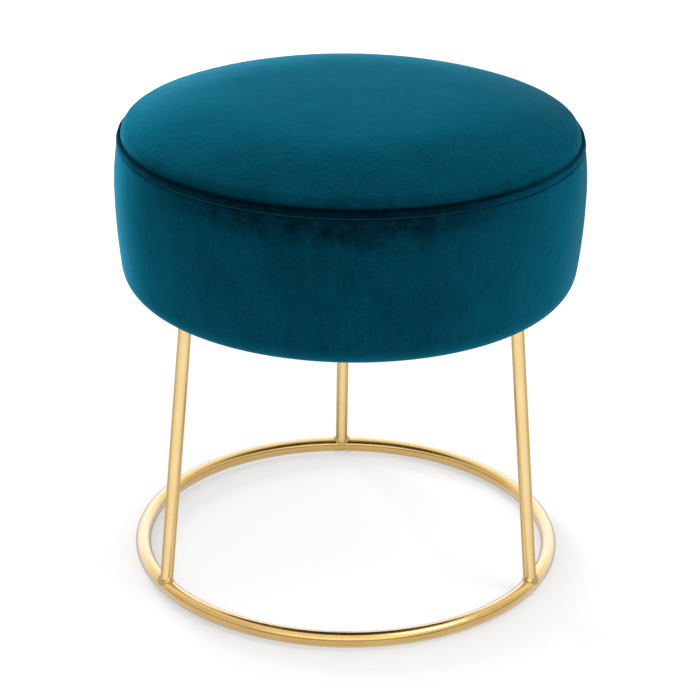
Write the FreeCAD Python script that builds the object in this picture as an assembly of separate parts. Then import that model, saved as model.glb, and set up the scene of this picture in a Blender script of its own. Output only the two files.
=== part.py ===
import FreeCAD, Part
import math
import os

# Round velvet pouf on a welded bar base: three leaning legs that stand on a floor ring.
# Lengths are in millimetres. The floor is Z = 0, +Z is up and the rear leg is towards +Y.

# Seat form, measured over the velvet.
seat_diameter = 350.0
seat_depth = 118.2          # underside of the seat to the seam below the top panel
crown_height = 25.0         # seam to the middle of the top panel
top_middle_radius = 85.0    # nearly level middle of the top panel
top_middle_rise = 0.6       # how far that middle still rises
edge_roll_radius = 9.0      # round edge of the top panel
seam_inset = 5.8            # seam, inside the widest radius
belly_height = 80.0         # underside to the widest level
stitch_drop = 5.9           # seam down to the topstitched line
stitch_inset = 2.9          # topstitched line, inside the widest radius
side_draw_in = 3.7          # how far the side is drawn in above the lower corner
corner_radius = 21.0        # round lower edge

# Soft layers.
cover_thickness = 1.3
seam_allowance = 7.5
fold_drop = 0.3             # top of the folded band, below the seam level
wadding_thickness = 5.0
pad_rim_depth = 19.9        # rim of the top pad, below the seam
edge_padding = 25.0         # soft edge beyond the rim of the board
hem_width = 20.0            # velvet turned in under the board
layer_gap = 0.15            # clearance between two layers

# Plywood board and dust cover.
board_thickness = 15.0
board_edge_radius = 1.5
dust_cover_thickness = 0.8
dust_cover_inset = 9.0      # edge of the dust cover, inside the rim of the board

# Staples, bent from flat wire.
staple_crown = 10.0
staple_leg = 8.0
staple_wire_width = 1.0
staple_wire_thickness = 0.6
hem_staple_count = 36
hem_staple_edge = 4.0       # from the raw edge of the hem
dust_staple_count = 18
dust_staple_edge = 3.0      # from the rim of the dust cover

# Welded base.
frame_height = 226.0        # floor to the top face of the plates
ring_diameter = 321.0       # centreline of the floor ring
leg_diameter = 10.0
bar_over_leg = 2.0          # the ring bar is thicker than the legs, so the coped feet land on it
leg_inset = 10.3            # leg axis at the plate, inside the rim of the board
weld_size = 2.0
weld_toe = 0.12             # thickness where a weld runs out
weld_points = 24
plate_thickness = 3.0
plate_width = 26.0
plate_margin = 3.5          # plate beyond the leg
plate_edge = 12.0           # plate beyond the inner screw
plate_corner_radius = 8.0
leg_names = ("rear", "front_left", "front_right")

# Floor pads, clear and stuck under the ring below each leg.
glide_thickness = 1.2
glide_width = 6.0
glide_length = 14.0
glide_wrap = 1.0            # how far the pad climbs the sides of the bar

# M6 screws, washers and T-nuts.
screw_first = 17.7          # leg axis in to the outer screw
screw_pitch = 24.0
thread_diameter = 6.0
thread_clearance = 0.1
screw_end_gap = 1.3         # screw end, below the top of the board
head_diameter = 10.5
head_height = 3.3
socket_width = 4.0
socket_depth = 2.0
washer_diameter = 12.0
washer_thickness = 1.2
hole_clearance = 0.6
t_nut_flange_diameter = 18.0
t_nut_flange_thickness = 1.2
t_nut_barrel_diameter = 7.8
t_nut_length = 10.0
t_nut_prong_length = 6.0
t_nut_prong_width = 2.5
t_nut_prong_thickness = 1.0
t_nut_prong_inset = 1.0     # prong, inside the rim of the flange
t_nut_prong_count = 4

# Levels and radii that follow from the sizes.
seat_radius = seat_diameter / 2
seat_bottom = frame_height + dust_cover_thickness
seam_level = seat_bottom + seat_depth
crown_level = seam_level + crown_height
belly_level = seat_bottom + belly_height
stitch_level = seam_level - stitch_drop
allowance_level = seam_level - seam_allowance
seam_radius = seat_radius - seam_inset
stitch_radius = seat_radius - stitch_inset
board_radius = seat_radius - edge_padding
board_bottom = seat_bottom + cover_thickness
board_top = board_bottom + board_thickness
core_top = seam_level - pad_rim_depth
hem_radius = board_radius - hem_width
dust_cover_radius = board_radius - dust_cover_inset
ring_radius = ring_diameter / 2
leg_radius = leg_diameter / 2
bar_radius = leg_radius + bar_over_leg / 2
ring_level = glide_thickness + bar_radius
plate_bottom = frame_height - plate_thickness
leg_top_radius = board_radius - leg_inset
plate_outer = leg_top_radius + leg_radius + plate_margin
screw_radii = (leg_top_radius - screw_first, leg_top_radius - screw_first - screw_pitch)
plate_inner = screw_radii[1] - plate_edge
wadding_depth = cover_thickness + layer_gap
foam_depth = wadding_depth + wadding_thickness + layer_gap

UP = FreeCAD.Vector(0, 0, 1)
ORIGIN = FreeCAD.Vector(0, 0, 0)


def leg_azimuth(index):
    """Even spread of the legs, with the first one at the rear."""
    return 90 + 360 / len(leg_names) * index


def polar(radius, azimuth, level):
    angle = math.radians(azimuth)
    return FreeCAD.Vector(radius * math.cos(angle), radius * math.sin(angle), level)


def turned(shape, azimuth):
    copy = shape.copy()
    copy.rotate(ORIGIN, UP, azimuth)
    return copy


def on_circle(centre, radius, degrees):
    angle = math.radians(degrees)
    return (centre[0] + radius * math.cos(angle), centre[1] + radius * math.sin(angle))


def point(pair):
    return FreeCAD.Vector(pair[0], 0, pair[1])


def line(start, end):
    return Part.makeLine(point(start), point(end))


def arc(centre, radius, start_degrees, end_degrees):
    middle = (start_degrees + end_degrees) / 2
    ends = [point(on_circle(centre, radius, a)) for a in (start_degrees, middle, end_degrees)]
    return Part.Arc(*ends).toShape()


def bow(start, middle, end):
    return Part.Arc(point(start), point(middle), point(end)).toShape()


def spun(edges):
    outline = Part.Wire(edges)
    return Part.Face(outline).revolve(ORIGIN, UP, 360)


def degrees_of(centre, target):
    return math.degrees(math.atan2(target[1] - centre[1], target[0] - centre[0]))


# The side of the seat is a chain of tangent arcs, so every layer is the same chain with smaller radii.
side_run = belly_level - seat_bottom - corner_radius
lower_arc_radius = (side_run ** 2 + side_draw_in ** 2) / (2 * side_draw_in)
upper_run = stitch_level - belly_level
upper_arc_radius = (upper_run ** 2 + stitch_inset ** 2) / (2 * stitch_inset)
lower_centre = (seat_radius - lower_arc_radius, belly_level)
upper_centre = (seat_radius - upper_arc_radius, belly_level)
corner_reach = math.sqrt((lower_arc_radius - corner_radius) ** 2 - side_run ** 2)
corner_centre = (lower_centre[0] + corner_reach, seat_bottom + corner_radius)
corner_turn = degrees_of(lower_centre, corner_centre)

# The crown is a chain of tangent arcs too: level middle, soft shoulder and a roll into the seam.
roll_centre = (seam_radius - edge_roll_radius, seam_level)
middle_arc_radius = (top_middle_radius ** 2 + top_middle_rise ** 2) / (2 * top_middle_rise)
middle_centre = (0.0, crown_level - middle_arc_radius)
middle_rim = (top_middle_radius, crown_level - top_middle_rise)
middle_turn = degrees_of(middle_centre, middle_rim)
rim_run = middle_rim[0] - roll_centre[0]
rim_rise = middle_rim[1] - roll_centre[1]
rim_lift = (rim_run * middle_rim[0] + rim_rise * (middle_rim[1] - middle_centre[1])) / middle_arc_radius
shoulder_reach = rim_run ** 2 + rim_rise ** 2 - edge_roll_radius ** 2
shoulder_radius = shoulder_reach / (2 * (rim_lift - edge_roll_radius))
shoulder_centre = on_circle(middle_centre, middle_arc_radius - shoulder_radius, middle_turn)
shoulder_turn = degrees_of(shoulder_centre, roll_centre)


def side_radius(level, depth):
    rise = level - belly_level
    return upper_centre[0] + math.sqrt((upper_arc_radius - depth) ** 2 - rise ** 2)


def side_edges(depth, top_level):
    """Seat side from the underside up to a level, this far in from the velvet face."""
    top = (side_radius(top_level, depth), top_level)
    return [
        arc(corner_centre, corner_radius - depth, -90, corner_turn),
        arc(lower_centre, lower_arc_radius - depth, corner_turn, 0),
        arc(upper_centre, upper_arc_radius - depth, 0, degrees_of(upper_centre, top)),
    ]


def crown_edges(depth):
    """Crown from the seam level to the axis."""
    return [
        arc(roll_centre, edge_roll_radius - depth, 0, shoulder_turn),
        arc(shoulder_centre, shoulder_radius - depth, shoulder_turn, middle_turn),
        arc(middle_centre, middle_arc_radius - depth, middle_turn, 90),
    ]


def seat_filling(depth):
    """Solid inside of the cover, with a rebate below the crown for the seam allowances."""
    step_level = allowance_level - layer_gap - (depth - wadding_depth)
    step = (side_radius(step_level, depth), step_level)
    neck = (seam_radius - depth, step_level)
    shoulder = (seam_radius - depth, seam_level)
    top = (0.0, crown_level - depth)
    base = (0.0, seat_bottom + depth)
    base_rim = (corner_centre[0], seat_bottom + depth)
    edges = [line(base, base_rim)]
    edges += side_edges(depth, step_level)
    edges += [line(step, neck), line(neck, shoulder)]
    edges += crown_edges(depth)
    edges += [line(top, base)]
    return spun(edges)


def top_panel():
    """Velvet top: crown, rolled edge, and the seam allowance that hangs behind the band."""
    inside = cover_thickness
    outer_foot = (seam_radius, allowance_level)
    inner_foot = (seam_radius - inside, allowance_level)
    outer_edges = [line(outer_foot, (seam_radius, seam_level))] + crown_edges(0.0)
    inner_edges = [line(inner_foot, (seam_radius - inside, seam_level))] + crown_edges(inside)
    axis_edge = line((0.0, crown_level), (0.0, crown_level - inside))
    return spun(outer_edges + [axis_edge] + inner_edges[::-1] + [line(inner_foot, outer_foot)])


def side_band():
    """Velvet side: folded band above the topstitched line, bellied side, and the hem."""
    inside = cover_thickness
    fold_centre = (seam_radius + layer_gap + inside, seam_level - fold_drop - inside)
    fold_outer = (fold_centre[0] + inside, fold_centre[1])
    fold_inner = (fold_centre[0] - inside, fold_centre[1])
    valley = (stitch_radius, stitch_level)
    bulge = (max(fold_outer[0], stitch_radius) + inside / 3, (fold_centre[1] + stitch_level) / 2)
    fold_foot = (fold_inner[0], allowance_level)
    lining_top = (side_radius(allowance_level, inside), allowance_level)
    hem_lower = (hem_radius, seat_bottom)
    hem_upper = (hem_radius, seat_bottom + inside)
    edges = [line(hem_lower, (corner_centre[0], seat_bottom))]
    edges += side_edges(0.0, stitch_level)
    edges += [bow(valley, bulge, fold_outer)]
    edges += [arc(fold_centre, inside, 0, 180)]
    edges += [line(fold_inner, fold_foot), line(fold_foot, lining_top)]
    edges += side_edges(inside, allowance_level)[::-1]
    edges += [line((corner_centre[0], seat_bottom + inside), hem_upper), line(hem_upper, hem_lower)]
    return spun(edges)


def post(radius, bottom, top, place=ORIGIN):
    return Part.makeCylinder(radius, top - bottom, place + UP * bottom, UP)


def staple(radius, azimuth, crown_bottom):
    """Crown across the radius line, with two legs that run up into the board."""
    half = staple_crown / 2
    wire = staple_wire_thickness
    corner = FreeCAD.Vector(radius - staple_wire_width / 2, -half, crown_bottom)
    crown = Part.makeBox(staple_wire_width, staple_crown, wire, corner)
    near_leg = Part.makeBox(staple_wire_width, wire, staple_leg, corner)
    far_corner = corner + FreeCAD.Vector(0, staple_crown - wire, 0)
    far_leg = Part.makeBox(staple_wire_width, wire, staple_leg, far_corner)
    return turned(crown.fuse([near_leg, far_leg]).removeSplitter(), azimuth)


def staple_row(count, radius, crown_bottom):
    """Even row that leaves the middle of each leg clear."""
    step = 360.0 / count
    first = leg_azimuth(0) + step / 2
    return [staple(radius, first + step * i, crown_bottom) for i in range(count)]


def closed_curve(points):
    curve = Part.BSplineCurve()
    curve.interpolate(points, True)
    return Part.Wire(curve.toShape())


def foot_weld_bead(rod, ring, foot, axis):
    """Fillet weld all round the coped foot of a leg that stands at azimuth 0."""
    size = min(weld_size, bar_radius * 0.5)
    across = FreeCAD.Vector(0, 1, 0)
    outward = across.cross(axis)
    turns = [2 * math.pi * i / weld_points for i in range(weld_points)]

    def beside_rod(turn, radius, height):
        offset = outward * (radius * math.cos(turn)) + across * (radius * math.sin(turn))
        return foot + offset + axis * height

    def cope_height(turn):
        share = leg_radius * math.cos(turn) / bar_radius
        return bar_radius * math.sqrt(1 - share ** 2)

    def toe(turn):
        along = (leg_radius + size) * math.sin(turn) / ring_radius
        round_bar = math.asin(leg_radius * math.cos(turn) / bar_radius)
        round_bar += size / bar_radius * math.cos(turn)
        reach = bar_radius + weld_toe
        radius = ring_radius + reach * math.sin(round_bar)
        level = ring_level + reach * math.cos(round_bar)
        return FreeCAD.Vector(radius * math.cos(along), radius * math.sin(along), level)

    above = [beside_rod(t, leg_radius * 0.6, bar_radius + 2 * size) for t in turns]
    shoulder = [beside_rod(t, leg_radius + weld_toe, cope_height(t) + size) for t in turns]
    toes = [toe(t) for t in turns]
    below = [beside_rod(t, leg_radius * 0.5, 0) for t in turns]
    curves = [closed_curve(points) for points in (above, shoulder, toes, below)]
    collar = Part.makeLoft(curves, True, True)
    return collar.cut(rod).cut(ring)


def plate_weld_bead(rod, head, axis):
    """Fillet weld round the top of a leg, cut level with the underside of its plate."""
    size = min(weld_size, plate_margin)
    low = head - axis * size
    height = size + leg_diameter
    collar = Part.makeCone(leg_radius + weld_toe, leg_radius + weld_toe + height, height, low, axis)
    above_plate = post(plate_outer, plate_bottom, plate_bottom + leg_diameter * 2, polar(head.x, 0, 0))
    return collar.cut(rod).cut(above_plate)


def mounting_plate():
    """Flat tab, with its long side along the radius and two screw holes."""
    length = plate_outer - plate_inner
    corner = FreeCAD.Vector(plate_inner, -plate_width / 2, plate_bottom)
    plate = Part.makeBox(length, plate_width, plate_thickness, corner)
    uprights = [e for e in plate.Edges if abs(e.tangentAt(e.FirstParameter).z) > 0.9]
    plate = plate.makeFillet(min(plate_corner_radius, plate_width * 0.45), uprights)
    radius = (thread_diameter + hole_clearance) / 2
    holes = [post(radius, 0, seat_bottom, polar(r, 0, 0)) for r in screw_radii]
    return plate.cut(holes)


def screw(place):
    """Button-head screw with a hexagon socket, driven from below."""
    seat = plate_bottom - washer_thickness
    radius = head_diameter / 2
    head_low = seat - head_height
    crown = (radius * 0.55, head_low)
    rim = (radius, seat - head_height * 0.3)
    edges = [line((0.0, head_low), crown)]
    edges += [bow(crown, (radius * 0.87, seat - head_height * 0.75), rim)]
    edges += [line(rim, (radius, seat)), line((radius, seat), (0.0, seat))]
    edges += [line((0.0, seat), (0.0, head_low))]
    head = spun(edges)
    corners = [polar(socket_width / math.sqrt(3), 60 * i, head_low) for i in range(7)]
    socket = Part.Face(Part.makePolygon(corners)).extrude(UP * socket_depth)
    shank = post(thread_diameter / 2, seat, board_top - screw_end_gap)
    whole = head.cut(socket).fuse(shank).removeSplitter()
    whole.translate(place)
    return whole


def washer(place):
    disc = post(washer_diameter / 2, plate_bottom - washer_thickness, plate_bottom, place)
    bore = post((thread_diameter + hole_clearance) / 2, 0, frame_height, place)
    return disc.cut(bore)


def t_nut(place):
    """Flange flush with the top of the board, a threaded barrel and bent prongs."""
    flange_radius = t_nut_flange_diameter / 2
    flange_bottom = board_top - t_nut_flange_thickness
    body = post(flange_radius, flange_bottom, board_top)
    body = body.fuse(post(t_nut_barrel_diameter / 2, board_top - t_nut_length, board_top))
    prong_corner = FreeCAD.Vector(
        flange_radius - t_nut_prong_thickness - t_nut_prong_inset,
        -t_nut_prong_width / 2,
        flange_bottom - t_nut_prong_length,
    )
    prong = Part.makeBox(
        t_nut_prong_thickness,
        t_nut_prong_width,
        t_nut_prong_length + t_nut_flange_thickness / 2,
        prong_corner,
    )
    step = 360.0 / t_nut_prong_count
    body = body.fuse([turned(prong, step * i) for i in range(t_nut_prong_count)])
    bore = post(thread_diameter / 2 + thread_clearance, 0, seam_level)
    body = body.cut(bore).removeSplitter()
    body.translate(place)
    return body


# Screw places, two below each leg plate.
screw_places = []
for index in range(len(leg_names)):
    for radius in screw_radii:
        screw_places.append(polar(radius, leg_azimuth(index), 0))

parts = {}

# Base: the leg is coped on the ring and cut level under its plate, then copied to the three places.
floor_ring = Part.makeTorus(ring_radius, bar_radius, FreeCAD.Vector(0, 0, ring_level), UP)
plate = mounting_plate()
foot = polar(ring_radius, 0, ring_level)
head = polar(leg_top_radius, 0, plate_bottom)
lean = head - foot
into_plate = lean * (plate_thickness / 2 / lean.z)
rod = Part.makeCylinder(leg_radius, (lean + into_plate).Length, foot, lean)
leg = rod.cut([floor_ring, plate])
leg_axis = FreeCAD.Vector(lean).normalize()
foot_weld = foot_weld_bead(rod, floor_ring, foot, leg_axis)
plate_weld = plate_weld_bead(rod, head, leg_axis)

pad_corner = FreeCAD.Vector(ring_radius - glide_width / 2, -glide_length / 2, 0)
pad_height = glide_thickness + glide_wrap
glide = Part.makeBox(glide_width, glide_length, pad_height, pad_corner).cut(floor_ring)

parts["floor_ring"] = floor_ring
for index, name in enumerate(leg_names):
    azimuth = leg_azimuth(index)
    parts["leg_" + name] = turned(leg, azimuth)
    parts["foot_weld_" + name] = turned(foot_weld, azimuth)
    parts["plate_" + name] = turned(plate, azimuth)
    parts["plate_weld_" + name] = turned(plate_weld, azimuth)
    parts["glide_" + name] = turned(glide, azimuth)

# Fasteners.
screws = [screw(place) for place in screw_places]
washers = [washer(place) for place in screw_places]
t_nuts = [t_nut(place) for place in screw_places]
hem_staples = staple_row(hem_staple_count, hem_radius + hem_staple_edge, seat_bottom)
dust_staples = staple_row(
    dust_staple_count, dust_cover_radius - dust_staple_edge, frame_height - staple_wire_thickness
)
hole_radius = (thread_diameter + hole_clearance) / 2
screw_holes = [post(hole_radius, plate_bottom, board_top, place) for place in screw_places]
drill_radius = t_nut_barrel_diameter / 2 + thread_clearance
drill_holes = [post(drill_radius, 0, seam_level, place) for place in screw_places]

# Board, bored for the T-nuts and pierced by the staples.
board = post(board_radius, board_bottom, board_top)
board = board.makeFillet(board_edge_radius, [e for e in board.Edges if e.Closed])
board = board.cut(drill_holes).cut(t_nuts).cut(hem_staples).cut(dust_staples)

# Velvet, wadding and foam.
parts["cover_top_panel"] = top_panel()
parts["cover_side_band"] = side_band().cut(hem_staples).cut(dust_staples).cut(screw_holes)
board_well = post(board_radius + layer_gap, 0, board_top)
filling = seat_filling(wadding_depth)
foam = seat_filling(foam_depth)
parts["wadding"] = filling.cut(seat_filling(foam_depth - layer_gap)).cut(board_well)
core_well = post(board_radius + layer_gap, 0, core_top)
above_core = post(seat_diameter, core_top, crown_level)
parts["foam_edge_wrap"] = foam.cut(above_core).cut(core_well)
parts["foam_top_pad"] = foam.common(post(seat_diameter, core_top + layer_gap, crown_level))
parts["foam_core"] = post(board_radius, board_top + layer_gap, core_top)
parts["seat_board"] = board
dust_disc = post(dust_cover_radius, frame_height, seat_bottom)
parts["dust_cover"] = dust_disc.cut(screw_holes).cut(dust_staples)

parts["screws"] = Part.makeCompound(screws)
parts["washers"] = Part.makeCompound(washers)
parts["t_nuts"] = Part.makeCompound(t_nuts)
parts["hem_staples"] = Part.makeCompound(hem_staples)
parts["dust_cover_staples"] = Part.makeCompound(dust_staples)

os.makedirs("parts", exist_ok=True)
for name, shape in parts.items():
    shape.exportStep(os.path.join("parts", name + ".step"))
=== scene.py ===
# %% [markdown]
# # A velvet pouf on a gold ring base
#
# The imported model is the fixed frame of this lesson. It brings the board, the foam, the plates and the
# fasteners at their real places. The velvet, its stitching, the black cloth under the seat and smooth gold
# bars are made here, and every piece gets a finish of its own. All lengths are in metres.

# %% Load the frame
import math

import bmesh
import bpy
from mathutils import Matrix, Vector, noise


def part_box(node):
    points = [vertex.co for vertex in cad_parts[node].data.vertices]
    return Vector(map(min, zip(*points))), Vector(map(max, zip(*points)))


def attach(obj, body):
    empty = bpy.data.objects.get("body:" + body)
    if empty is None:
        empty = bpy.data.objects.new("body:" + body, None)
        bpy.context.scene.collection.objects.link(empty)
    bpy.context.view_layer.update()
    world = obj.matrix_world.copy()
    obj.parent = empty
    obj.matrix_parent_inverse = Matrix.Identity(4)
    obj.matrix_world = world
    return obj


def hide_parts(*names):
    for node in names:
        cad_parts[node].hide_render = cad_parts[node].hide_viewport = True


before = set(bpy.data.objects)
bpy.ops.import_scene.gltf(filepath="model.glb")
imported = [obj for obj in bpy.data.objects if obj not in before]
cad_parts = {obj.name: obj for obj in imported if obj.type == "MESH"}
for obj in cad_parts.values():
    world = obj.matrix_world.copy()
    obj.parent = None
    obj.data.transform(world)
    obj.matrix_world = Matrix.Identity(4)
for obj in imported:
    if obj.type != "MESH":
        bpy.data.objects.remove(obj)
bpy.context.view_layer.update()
MM = 0.001
FULL_TURN = 2 * math.pi

# %% [markdown]
# ## Camera
#
# The photograph was taken with a long lens, from above the seat and almost in front of it. The camera is
# placed on a circle round the pouf, tipped down by its pitch and rolled by a trace. A long focal length
# keeps the sides of the seat nearly upright, as they are in the photograph.

# %% Camera
orbit = math.radians(-1.75)
pitch = math.radians(24.06)
roll = math.radians(0.75)
stand = Vector((0.0013, -1.6074, 0.8852))
camera_data = bpy.data.cameras.new("photo_camera")
camera_data.sensor_width = 36.0
camera_data.lens = 117.96
camera = bpy.data.objects.new("photo_camera", camera_data)
bpy.context.scene.collection.objects.link(camera)
camera.matrix_world = (
    Matrix.Rotation(orbit, 4, "Z")
    @ Matrix.Translation(stand)
    @ Matrix.Rotation(math.pi / 2 - pitch, 4, "X")
    @ Matrix.Rotation(roll, 4, "Z")
)
bpy.context.scene.camera = camera
print("camera at", [round(x, 3) for x in camera.matrix_world.translation])

# %% [markdown]
# ## Helpers for nodes
#
# Every finish here is a small tree of shader nodes. A few helpers keep the trees readable: one adds a node
# and fills its inputs, and the others wrap the nodes that come back most, so that a finish reads as a short
# list of what is mixed with what.


# %% Node helpers
def fill(tree, made, inputs):
    """Fills a node's inputs: a socket is linked, and any other value is set."""
    for name, value in inputs.items():
        if isinstance(value, bpy.types.NodeSocket):
            tree.links.new(value, made.inputs[name])
        else:
            made.inputs[name].default_value = value
    return made


def add(tree, kind, inputs, **settings):
    """Adds a node with its settings and inputs."""
    made = tree.nodes.new(kind)
    for name, value in settings.items():
        setattr(made, name, value)
    return fill(tree, made, inputs)


def maths(tree, operation, first, second=0.0, third=0.0):
    """A Math node's result."""
    return add(tree, "ShaderNodeMath", {0: first, 1: second, 2: third}, operation=operation).outputs[0]


def mixed(tree, factor, first, second, how="MIX"):
    """A colour between two others, or one added to the other."""
    made = add(tree, "ShaderNodeMix", {0: factor, 6: first, 7: second}, data_type="RGBA", blend_type=how)
    return made.outputs[2]


def spread(tree, value, low, high, new_low=0.0, new_high=1.0):
    """A value stretched smoothly from one range to another, and kept inside it."""
    given = {"Value": value, "From Min": low, "From Max": high, "To Min": new_low, "To Max": new_high}
    return add(tree, "ShaderNodeMapRange", given, interpolation_type="SMOOTHSTEP").outputs[0]


def stretched(tree, where, scale):
    """Coordinates multiplied by a vector, which sets how long and how narrow a pattern is."""
    return add(tree, "ShaderNodeVectorMath", {0: where, 1: scale}, operation="MULTIPLY").outputs[0]


def grain(tree, where, scale, detail=3.0, roughness=0.55):
    """Noise whose size is set by the stretch of its coordinates."""
    given = {"Vector": stretched(tree, where, scale), "Scale": 1.0, "Detail": detail, "Roughness": roughness}
    return add(tree, "ShaderNodeTexNoise", given).outputs[0]


def object_place(tree):
    """The object's own coordinates, in metres."""
    return add(tree, "ShaderNodeTexCoord", {}).outputs["Object"]


def axes(tree, where):
    """The three parts of a vector."""
    return add(tree, "ShaderNodeSeparateXYZ", {0: where}).outputs


def facing_away(tree, low, high):
    """From 0 where a surface faces the eye to 1 at its rim."""
    facing = add(tree, "ShaderNodeLayerWeight", {"Blend": 0.5}).outputs["Facing"]
    return spread(tree, facing, low, high)


print("node helpers ready")


# %% Material helpers
def new_group(name, inputs, outputs):
    """An empty shader node group with named sockets."""
    tree = bpy.data.node_groups.new(name, "ShaderNodeTree")
    for label, kind in inputs:
        tree.interface.new_socket(label, in_out="INPUT", socket_type=kind)
    for label, kind in outputs:
        tree.interface.new_socket(label, in_out="OUTPUT", socket_type=kind)
    return tree, tree.nodes.new("NodeGroupInput").outputs, tree.nodes.new("NodeGroupOutput").inputs


def place(tree, group, inputs):
    """Puts a node group into a material. Returns its outputs."""
    made = tree.nodes.new("ShaderNodeGroup")
    made.node_tree = group
    return fill(tree, made, inputs).outputs


def new_material(name, constants):
    """A material with one Principled shader whose constant sockets are set directly."""
    material = bpy.data.materials.new(name)
    material.use_nodes = True
    shader = material.node_tree.nodes["Principled BSDF"]
    for label, value in constants.items():
        shader.inputs[label].default_value = value
    return material, material.node_tree, shader.inputs


def relief(tree, shader, height, distance, strength=1.0):
    """Turns a height into the shader's normal."""
    made = add(tree, "ShaderNodeBump", {"Height": height, "Strength": strength, "Distance": distance})
    tree.links.new(made.outputs[0], shader["Normal"])


print("material helpers ready")

# %% [markdown]
# ## Studio
#
# The photograph is a catalogue shot: white floor, white surroundings and soft light. The floor glows a
# little by itself, so it stays white under the seat. Ambient occlusion in the floor's own paint darkens it
# close to the ring, where the photograph has a thin contact shadow.

# %% Floor
FLOOR_GLOW = 0.68
CONTACT_REACH = 22.0 * MM
CONTACT_SHADE = (0.68, 0.68, 0.68, 1)
floor_mesh = bpy.data.meshes.new("floor")
plane = bmesh.new()
bmesh.ops.create_grid(plane, x_segments=1, y_segments=1, size=8.0)
plane.to_mesh(floor_mesh)
plane.free()
floor = bpy.data.objects.new("floor", floor_mesh)
bpy.context.scene.collection.objects.link(floor)
floor_paint, tree, shader = new_material(
    "studio_floor", {"Roughness": 0.9, "Specular IOR Level": 0.0, "Emission Strength": FLOOR_GLOW},
)
openness = add(tree, "ShaderNodeAmbientOcclusion", {"Distance": CONTACT_REACH}, samples=8).outputs["AO"]
tree.links.new(mixed(tree, openness, CONTACT_SHADE, (1, 1, 1, 1)), shader["Emission Color"])
cloudy = grain(tree, object_place(tree), (3, 3, 3))
tree.links.new(mixed(tree, cloudy, (0.32, 0.32, 0.32, 1), (0.34, 0.34, 0.34, 1)), shader["Base Color"])
floor_mesh.materials.append(floor_paint)
print("floor:", floor_paint.name)

# %% [markdown]
# Polished metal shows what stands round it. The camera sees a plain white backdrop and the cloth gets even
# light, and only reflections see a studio: a bright wall behind the pouf, a bright ceiling in front of it,
# dimmer walls at both sides and a dim room behind the camera. Each glow depends on the direction.

# %% World
AMBIENT = 0.65
BACKDROP = 0.95
world = bpy.data.worlds.new("studio")
world.use_nodes = True
tree = world.node_tree
side_way, back_way, up_way = axes(tree, add(tree, "ShaderNodeTexCoord", {}).outputs["Generated"])
aside = maths(tree, "ABSOLUTE", side_way)
ceiling = spread(tree, up_way, 0.20, 0.39, 0.40, 1.85)
ceiling = maths(tree, "MULTIPLY", ceiling, spread(tree, up_way, 0.45, 0.90, 1.0, 0.70))
front_glow = maths(tree, "MULTIPLY", ceiling, spread(tree, aside, 0.35, 0.80, 1.0, 0.55))
side_glow = spread(tree, aside, 0.50, 0.85, 0.0, 0.65)
back_glow = spread(tree, back_way, -0.2, 0.6, 0.0, 1.45)
back_glow = maths(tree, "MULTIPLY", back_glow, spread(tree, up_way, -0.05, 0.25, 0.80, 1.0))
studio_glow = maths(tree, "MAXIMUM", maths(tree, "MAXIMUM", front_glow, back_glow), side_glow)
rays = add(tree, "ShaderNodeLightPath", {}).outputs
strength = add(tree, "ShaderNodeMix", {0: rays["Is Glossy Ray"], 2: AMBIENT, 3: studio_glow}).outputs[0]
strength = add(tree, "ShaderNodeMix", {0: rays["Is Camera Ray"], 2: strength, 3: BACKDROP}).outputs[0]
fill(tree, tree.nodes["Background"], {"Color": (1, 1, 1, 1), "Strength": strength})
bpy.context.scene.world = world
bpy.context.scene.view_settings.view_transform = "Standard"
print("world:", len(tree.nodes), "nodes")

# %% [markdown]
# One light stands low behind the pouf on the left and draws the bright edge on the velvet. It is hidden from
# reflections, so it leaves no square in the gold. The other is a soft light high on the right.

# %% Lights
LIGHT_AIM = Vector((0, 0, 0.30))
LIGHT_DISTANCE = 1.8
LIGHT_SIZE = 0.7


def softbox(name, azimuth, elevation, power):
    """A square area light that looks at the seat. Azimuth 0 is in front, and 90 is on the right."""
    turn, rise = math.radians(azimuth), math.radians(elevation)
    away = Vector((math.sin(turn) * math.cos(rise), -math.cos(turn) * math.cos(rise), math.sin(rise)))
    lamp = bpy.data.lights.new(name, "AREA")
    lamp.shape = "SQUARE"
    lamp.size = LIGHT_SIZE
    lamp.energy = power
    made = bpy.data.objects.new(name, lamp)
    bpy.context.scene.collection.objects.link(made)
    made.location = LIGHT_AIM + away * LIGHT_DISTANCE
    made.rotation_euler = away.to_track_quat("Z", "Y").to_euler()
    return made


softbox("edge_light", 210, 3, 66).visible_glossy = False
softbox("key_light", 60, 50, 11)

# %% [markdown]
# ## Velvet
#
# Velvet is a short pile of upright threads. Seen straight on it swallows light, and at a flat angle the ends
# of the threads catch it, so it is dark in front and bright at the rim. The Principled shader's sheen does
# just that. The colour below it is not even: hands brush the pile, and threads that lean make clouds and
# streaks. One node group makes those marks for both velvet pieces, each with its own stretch.

# %% Pile group
pile, given, result = new_group(
    "pile_marks",
    [("Coordinates", "NodeSocketVector"), ("Streaks", "NodeSocketVector"), ("Clouds", "NodeSocketVector")],
    [("Shade", "NodeSocketFloat"), ("Height", "NodeSocketFloat")],
)
tufts = grain(pile, given["Coordinates"], (430, 430, 430), 5.0, 0.72)
streaks = grain(pile, given["Coordinates"], given["Streaks"], 4.0, 0.65)
clouds = grain(pile, given["Coordinates"], given["Clouds"], 4.0, 0.6)
marks = maths(pile, "MULTIPLY_ADD", tufts, 0.38, maths(pile, "MULTIPLY", streaks, 0.26))
marks = maths(pile, "MULTIPLY_ADD", clouds, 0.36, marks)
pile.links.new(spread(pile, marks, 0.39, 0.61), result["Shade"])
height = maths(pile, "MULTIPLY_ADD", streaks, 0.4, tufts)
pile.links.new(maths(pile, "MULTIPLY_ADD", clouds, 1.5, height), result["Height"])
print("pile group:", len(pile.nodes), "nodes")

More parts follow.
